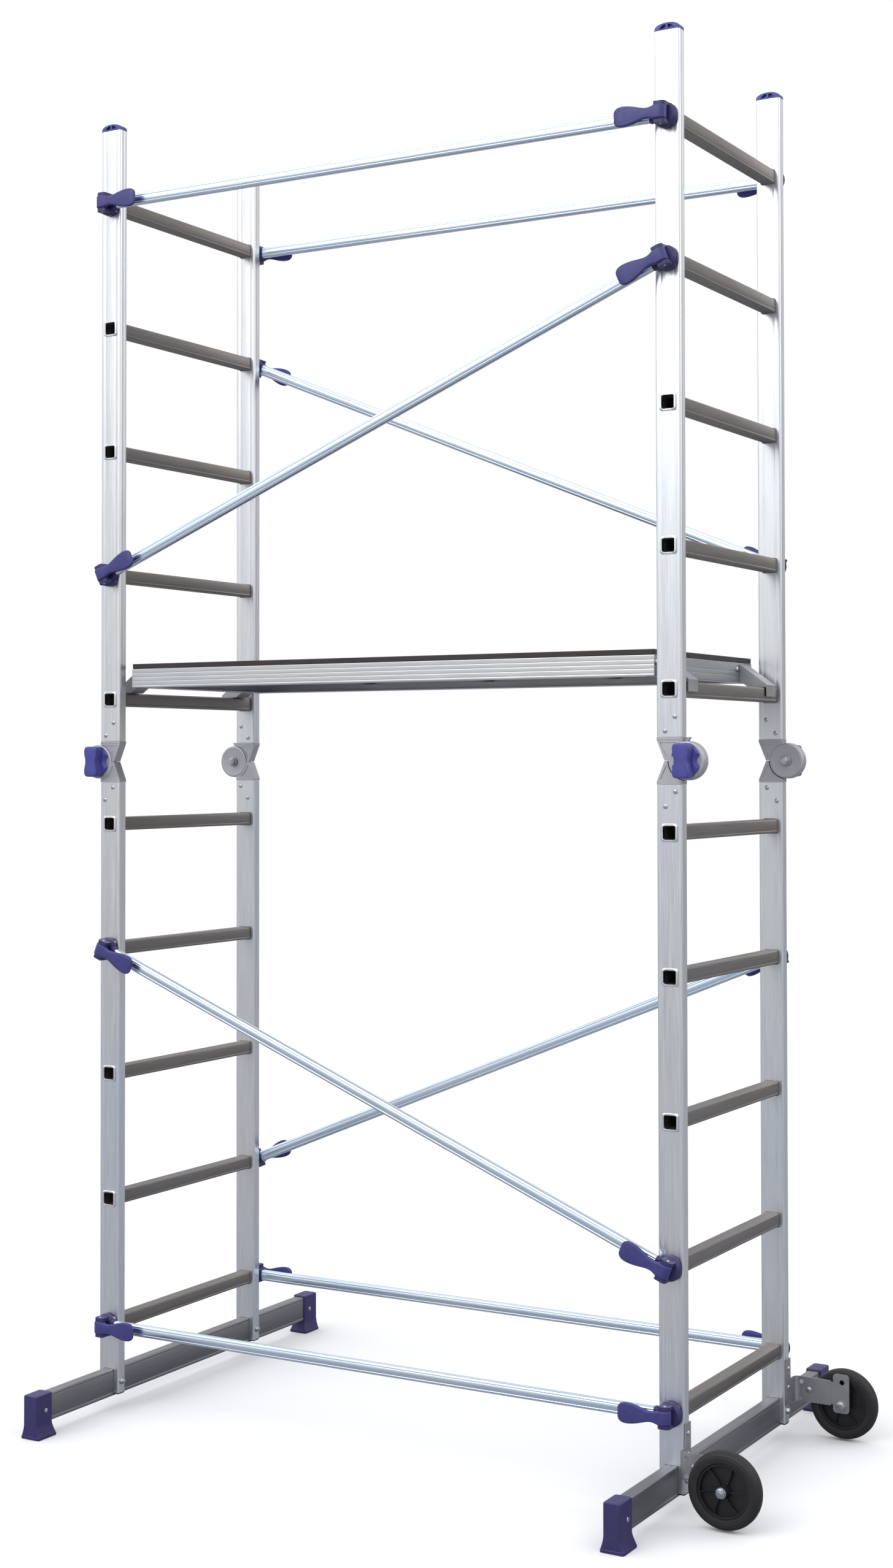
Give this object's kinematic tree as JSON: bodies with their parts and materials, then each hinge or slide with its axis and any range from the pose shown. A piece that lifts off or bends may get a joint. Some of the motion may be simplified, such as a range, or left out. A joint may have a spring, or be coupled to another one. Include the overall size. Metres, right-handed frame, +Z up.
{
  "type": "mobile tower scaffold",
  "caption": "Narrow folding aluminium tower scaffold: two ladder end frames joined by clamped braces, with a lift-out platform, spreader feet and tip-and-roll wheels.",
  "frame": {"origin": "on the floor under the middle of the bounding box, tower assembled", "axes": "+Z up, +X towards the end with the wheels, +Y towards the back; the ladder rungs run along Y"},
  "size_m": [1.6545, 1.084, 2.893],
  "materials": {
    "aluminium": "extruded, satin, finely ribbed along its length",
    "rung_aluminium": "extruded, dull satin, slightly brownish",
    "brace_aluminium": "extruded, bright satin, ribbed",
    "cast_aluminium": "die cast, matte",
    "blue_plastic": "moulded nylon, fine grain, low sheen",
    "black_plastic": "moulded, matte",
    "wheel_plastic": "moulded, slight sheen",
    "wheel_rubber": "solid rubber, matte",
    "bracket_steel": "zinc plated, dull",
    "zinc_steel": "bright zinc plated fasteners",
    "plywood": "dark phenolic film faced, fine grip pattern"
  },
  "bodies": {
    "lower_tower": {"right_lower_stile_with_rungs": "aluminium", "right_lower_back_stile": "aluminium", "right_front_lower_hinge_casting": "cast_aluminium", "right_front_foot": "blue_plastic", "right_back_lower_hinge_casting": "cast_aluminium", "right_back_foot": "blue_plastic", "right_base_bar": "rung_aluminium", "left_lower_stile_with_rungs": "aluminium", "left_lower_front_stile": "aluminium", "left_front_lower_hinge_casting": "cast_aluminium", "left_front_foot": "blue_plastic", "left_back_lower_hinge_casting": "cast_aluminium", "left_back_foot": "blue_plastic", "left_base_bar": "rung_aluminium", "front_wheel_bracket": "bracket_steel", "front_lower_diagonal": "brace_aluminium", "front_bottom_rail": "brace_aluminium", "back_wheel_bracket": "bracket_steel", "back_lower_diagonal": "brace_aluminium", "back_bottom_rail": "brace_aluminium"},
    "right_upper_frame": {"right_upper_stile_with_rungs": "aluminium", "right_upper_back_stile": "aluminium", "right_front_upper_hinge_casting": "cast_aluminium", "right_front_top_cap": "blue_plastic", "right_back_upper_hinge_casting": "cast_aluminium", "right_back_top_cap": "blue_plastic"},
    "left_upper_frame": {"left_upper_stile_with_rungs": "aluminium", "left_upper_front_stile": "aluminium", "left_front_upper_hinge_casting": "cast_aluminium", "left_front_top_cap": "blue_plastic", "left_back_upper_hinge_casting": "cast_aluminium", "left_back_top_cap": "blue_plastic", "front_top_rail": "brace_aluminium", "front_upper_diagonal": "brace_aluminium", "back_top_rail": "brace_aluminium", "back_upper_diagonal": "brace_aluminium"},
    "platform": {"platform_deck": "plywood", "platform_frame": "aluminium"},
    "front_wheel": {"front_wheel": "wheel_rubber"},
    "back_wheel": {"back_wheel": "wheel_rubber"},
    "right_front_hinge_knob": {"right_front_hinge_knob": "blue_plastic"},
    "right_back_hinge_knob": {"right_back_hinge_knob": "blue_plastic"},
    "left_front_hinge_knob": {"left_front_hinge_knob": "blue_plastic"},
    "left_back_hinge_knob": {"left_back_hinge_knob": "blue_plastic"},
    "front_top_rail_left_lever": {"front_top_rail_left_lever": "blue_plastic"},
    "front_top_rail_right_lever": {"front_top_rail_right_lever": "blue_plastic"},
    "front_upper_diagonal_left_lever": {"front_upper_diagonal_left_lever": "blue_plastic"},
    "front_upper_diagonal_right_lever": {"front_upper_diagonal_right_lever": "blue_plastic"},
    "front_lower_diagonal_left_lever": {"front_lower_diagonal_left_lever": "blue_plastic"},
    "front_lower_diagonal_right_lever": {"front_lower_diagonal_right_lever": "blue_plastic"},
    "front_bottom_rail_left_lever": {"front_bottom_rail_left_lever": "blue_plastic"},
    "front_bottom_rail_right_lever": {"front_bottom_rail_right_lever": "blue_plastic"},
    "back_top_rail_left_lever": {"back_top_rail_left_lever": "blue_plastic"},
    "back_top_rail_right_lever": {"back_top_rail_right_lever": "blue_plastic"},
    "back_upper_diagonal_left_lever": {"back_upper_diagonal_left_lever": "blue_plastic"},
    "back_upper_diagonal_right_lever": {"back_upper_diagonal_right_lever": "blue_plastic"},
    "back_lower_diagonal_left_lever": {"back_lower_diagonal_left_lever": "blue_plastic"},
    "back_lower_diagonal_right_lever": {"back_lower_diagonal_right_lever": "blue_plastic"},
    "back_bottom_rail_left_lever": {"back_bottom_rail_left_lever": "blue_plastic"},
    "back_bottom_rail_right_lever": {"back_bottom_rail_right_lever": "blue_plastic"}
  },
  "joints": [
    {"name": "right_frame_fold", "type": "hinge", "parent": "lower_tower", "child": "right_upper_frame", "pos_m": [0.6566, 0, 1.448], "axis": [0, 1, 0], "range_deg": [0, 170]},
    {"name": "left_frame_fold", "type": "hinge", "parent": "lower_tower", "child": "left_upper_frame", "pos_m": [-0.7894, 0, 1.448], "axis": [0, -1, 0], "range_deg": [0, 180]},
    {"name": "platform_lift", "type": "slide", "parent": "left_upper_frame", "child": "platform", "axis": [0, 0, 1], "range_m": [0, 0.12]},
    {"name": "front_wheel_spin", "type": "hinge", "parent": "lower_tower", "child": "front_wheel", "pos_m": [0.7539, -0.324, 0.0768], "axis": [0, 1, 0], "continuous": true},
    {"name": "back_wheel_spin", "type": "hinge", "parent": "lower_tower", "child": "back_wheel", "pos_m": [0.7539, 0.324, 0.0768], "axis": [0, 1, 0], "continuous": true},
    {"name": "right_front_knob_turn", "type": "hinge", "parent": "lower_tower", "child": "right_front_hinge_knob", "pos_m": [0.6566, -0.2625, 1.448], "axis": [0, 1, 0], "range_deg": [0, 90]},
    {"name": "right_back_knob_turn", "type": "hinge", "parent": "lower_tower", "child": "right_back_hinge_knob", "pos_m": [0.6566, 0.2625, 1.448], "axis": [0, 1, 0], "range_deg": [0, 90]},
    {"name": "left_front_knob_turn", "type": "hinge", "parent": "lower_tower", "child": "left_front_hinge_knob", "pos_m": [-0.7894, -0.2625, 1.448], "axis": [0, 1, 0], "range_deg": [0, 90]},
    {"name": "left_back_knob_turn", "type": "hinge", "parent": "lower_tower", "child": "left_back_hinge_knob", "pos_m": [-0.7894, 0.2625, 1.448], "axis": [0, 1, 0], "range_deg": [0, 90]},
    {"name": "front_top_rail_left_lever_swing", "type": "hinge", "parent": "left_upper_frame", "child": "front_top_rail_left_lever", "pos_m": [-0.7544, -0.306, 2.708], "axis": [0, 0, -1], "range_deg": [0, 90]},
    {"name": "front_top_rail_right_lever_swing", "type": "hinge", "parent": "left_upper_frame", "child": "front_top_rail_right_lever", "pos_m": [0.6216, -0.306, 2.708], "axis": [0, 0, 1], "range_deg": [0, 90]},
    {"name": "front_upper_diagonal_left_lever_swing", "type": "hinge", "parent": "left_upper_frame", "child": "front_upper_diagonal_left_lever", "pos_m": [-0.7544, -0.306, 1.868], "axis": [0.377, 0, -0.9262], "range_deg": [0, 90]},
    {"name": "front_upper_diagonal_right_lever_swing", "type": "hinge", "parent": "left_upper_frame", "child": "front_upper_diagonal_right_lever", "pos_m": [0.6216, -0.306, 2.428], "axis": [-0.377, 0, 0.9262], "range_deg": [0, 90]},
    {"name": "front_lower_diagonal_left_lever_swing", "type": "hinge", "parent": "lower_tower", "child": "front_lower_diagonal_left_lever", "pos_m": [-0.7544, -0.306, 1.028], "axis": [-0.377, 0, -0.9262], "range_deg": [0, 90]},
    {"name": "front_lower_diagonal_right_lever_swing", "type": "hinge", "parent": "lower_tower", "child": "front_lower_diagonal_right_lever", "pos_m": [0.6216, -0.306, 0.468], "axis": [0.377, 0, 0.9262], "range_deg": [0, 90]},
    {"name": "front_bottom_rail_left_lever_swing", "type": "hinge", "parent": "lower_tower", "child": "front_bottom_rail_left_lever", "pos_m": [-0.7544, -0.306, 0.188], "axis": [0, 0, -1], "range_deg": [0, 90]},
    {"name": "front_bottom_rail_right_lever_swing", "type": "hinge", "parent": "lower_tower", "child": "front_bottom_rail_right_lever", "pos_m": [0.6216, -0.306, 0.188], "axis": [0, 0, 1], "range_deg": [0, 90]},
    {"name": "back_top_rail_left_lever_swing", "type": "hinge", "parent": "left_upper_frame", "child": "back_top_rail_left_lever", "pos_m": [-0.7544, 0.306, 2.708], "axis": [0, 0, 1], "range_deg": [0, 90]},
    {"name": "back_top_rail_right_lever_swing", "type": "hinge", "parent": "left_upper_frame", "child": "back_top_rail_right_lever", "pos_m": [0.6216, 0.306, 2.708], "axis": [0, 0, -1], "range_deg": [0, 90]},
    {"name": "back_upper_diagonal_left_lever_swing", "type": "hinge", "parent": "left_upper_frame", "child": "back_upper_diagonal_left_lever", "pos_m": [-0.7544, 0.306, 2.428], "axis": [0.377, 0, 0.9262], "range_deg": [0, 90]},
    {"name": "back_upper_diagonal_right_lever_swing", "type": "hinge", "parent": "left_upper_frame", "child": "back_upper_diagonal_right_lever", "pos_m": [0.6216, 0.306, 1.868], "axis": [-0.377, 0, -0.9262], "range_deg": [0, 90]},
    {"name": "back_lower_diagonal_left_lever_swing", "type": "hinge", "parent": "lower_tower", "child": "back_lower_diagonal_left_lever", "pos_m": [-0.7544, 0.306, 0.468], "axis": [-0.377, 0, 0.9262], "range_deg": [0, 90]},
    {"name": "back_lower_diagonal_right_lever_swing", "type": "hinge", "parent": "lower_tower", "child": "back_lower_diagonal_right_lever", "pos_m": [0.6216, 0.306, 1.028], "axis": [0.377, 0, -0.9262], "range_deg": [0, 90]},
    {"name": "back_bottom_rail_left_lever_swing", "type": "hinge", "parent": "lower_tower", "child": "back_bottom_rail_left_lever", "pos_m": [-0.7544, 0.306, 0.188], "axis": [0, 0, 1], "range_deg": [0, 90]},
    {"name": "back_bottom_rail_right_lever_swing", "type": "hinge", "parent": "lower_tower", "child": "back_bottom_rail_right_lever", "pos_m": [0.6216, 0.306, 0.188], "axis": [0, 0, -1], "range_deg": [0, 90]}
  ]
}
